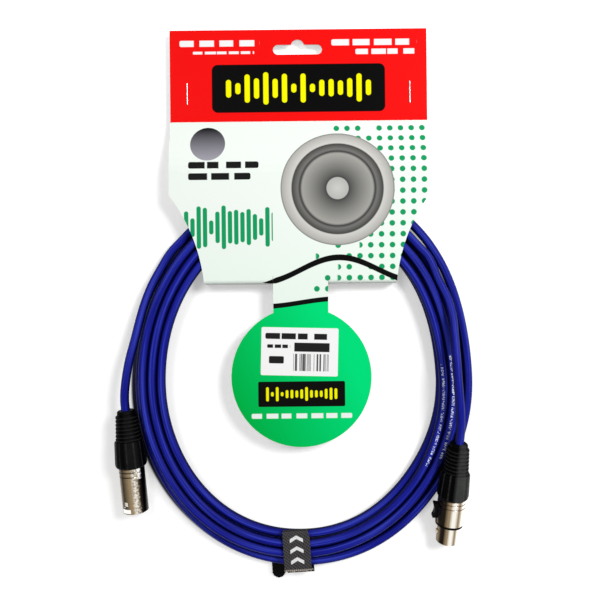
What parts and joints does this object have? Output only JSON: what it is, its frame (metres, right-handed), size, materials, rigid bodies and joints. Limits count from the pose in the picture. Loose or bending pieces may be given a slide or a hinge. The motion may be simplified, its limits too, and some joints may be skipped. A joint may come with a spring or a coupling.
{
  "type": "packed microphone cable",
  "caption": "Blue microphone cable with a plug and a socket connector, coiled, tied, and hung in a folded header card with a round tongue",
  "frame": {"origin": "centre of the bounding box's bottom face, on the surface that the pack lies on", "axes": "+Y from the coil to the card's hanging slot, +X to the right as seen from above with +Y up, +Z up out of the surface"},
  "size_m": [0.2662, 0.4146, 0.032],
  "materials": {
    "jacket": "satin PVC jacket",
    "nickel": "satin nickel plate on die-cast zinc",
    "black_plastic": "fine satin moulding",
    "boot_rubber": "matte",
    "white_plastic": "satin moulding",
    "contact": "silver plated",
    "copper": "bare twisted shield wire",
    "core_red": "satin",
    "core_white": "satin",
    "steel": "bright",
    "card": "coated board, printed on the outside",
    "label": "semi-gloss label stock",
    "tie": "woven hook and loop"
  },
  "bodies": {
    "pack": {"cable_coil": "jacket", "plug_lead": "jacket", "mate_lead": "jacket", "plug_shell": "nickel", "plug_insert": "black_plastic", "plug_pin_1": "contact", "plug_pin_2": "contact", "plug_pin_3": "contact", "plug_core_1": "core_red", "plug_core_2": "core_white", "plug_core_3": "copper", "plug_collet": "white_plastic", "mate_shell": "nickel", "mate_ring": "black_plastic", "mate_insert": "black_plastic", "mate_contact_1": "contact", "mate_contact_2": "contact", "mate_contact_3": "contact", "mate_core_1": "core_red", "mate_core_2": "core_white", "mate_core_3": "copper", "mate_collet": "white_plastic", "latch_pin": "steel", "latch_spring": "steel", "header_card": "card", "card_label": "label", "staple_left": "steel", "staple_right": "steel", "tie_strap": "tie", "tie_tail": "tie"},
    "plug_boot_body": {"plug_boot": "boot_rubber"},
    "plug_nut_body": {"plug_nut": "black_plastic"},
    "mate_boot_body": {"mate_boot": "boot_rubber"},
    "mate_nut_body": {"mate_nut": "black_plastic"},
    "latch_body": {"latch": "black_plastic"}
  },
  "joints": [
    {"name": "plug_boot_slide", "type": "slide", "parent": "pack", "child": "plug_boot_body", "axis": [-0.0826, 0.9941, 0.0698], "range_m": [0, 0.0045]},
    {"name": "plug_nut_turn", "type": "hinge", "parent": "plug_boot_body", "child": "plug_nut_body", "pos_m": [-0.12262, -0.11006, 0.01238], "axis": [-0.0826, 0.9941, 0.0698], "range_deg": [0, 1080]},
    {"name": "mate_boot_slide", "type": "slide", "parent": "pack", "child": "mate_boot_body", "axis": [0.0682, 0.9758, 0.2079], "range_m": [0, 0.0045]},
    {"name": "mate_nut_turn", "type": "hinge", "parent": "mate_boot_body", "child": "mate_nut_body", "pos_m": [0.11599, -0.13162, 0.01749], "axis": [0.0682, 0.9758, 0.2079], "range_deg": [0, 1080]},
    {"name": "latch_press", "type": "hinge", "parent": "pack", "child": "latch_body", "pos_m": [0.10649, -0.14272, 0.01499], "axis": [-0.0145, -0.2074, 0.9781], "range_deg": [0, 3.5], "stiffness_Nm_per_rad": 0.05, "deforming": ["latch_spring"]}
  ],
  "couplings": [
    {"joint": "plug_nut_turn", "follows": "plug_boot_slide", "rad_per_m": 4188.8},
    {"joint": "mate_nut_turn", "follows": "mate_boot_slide", "rad_per_m": 4188.8}
  ]
}
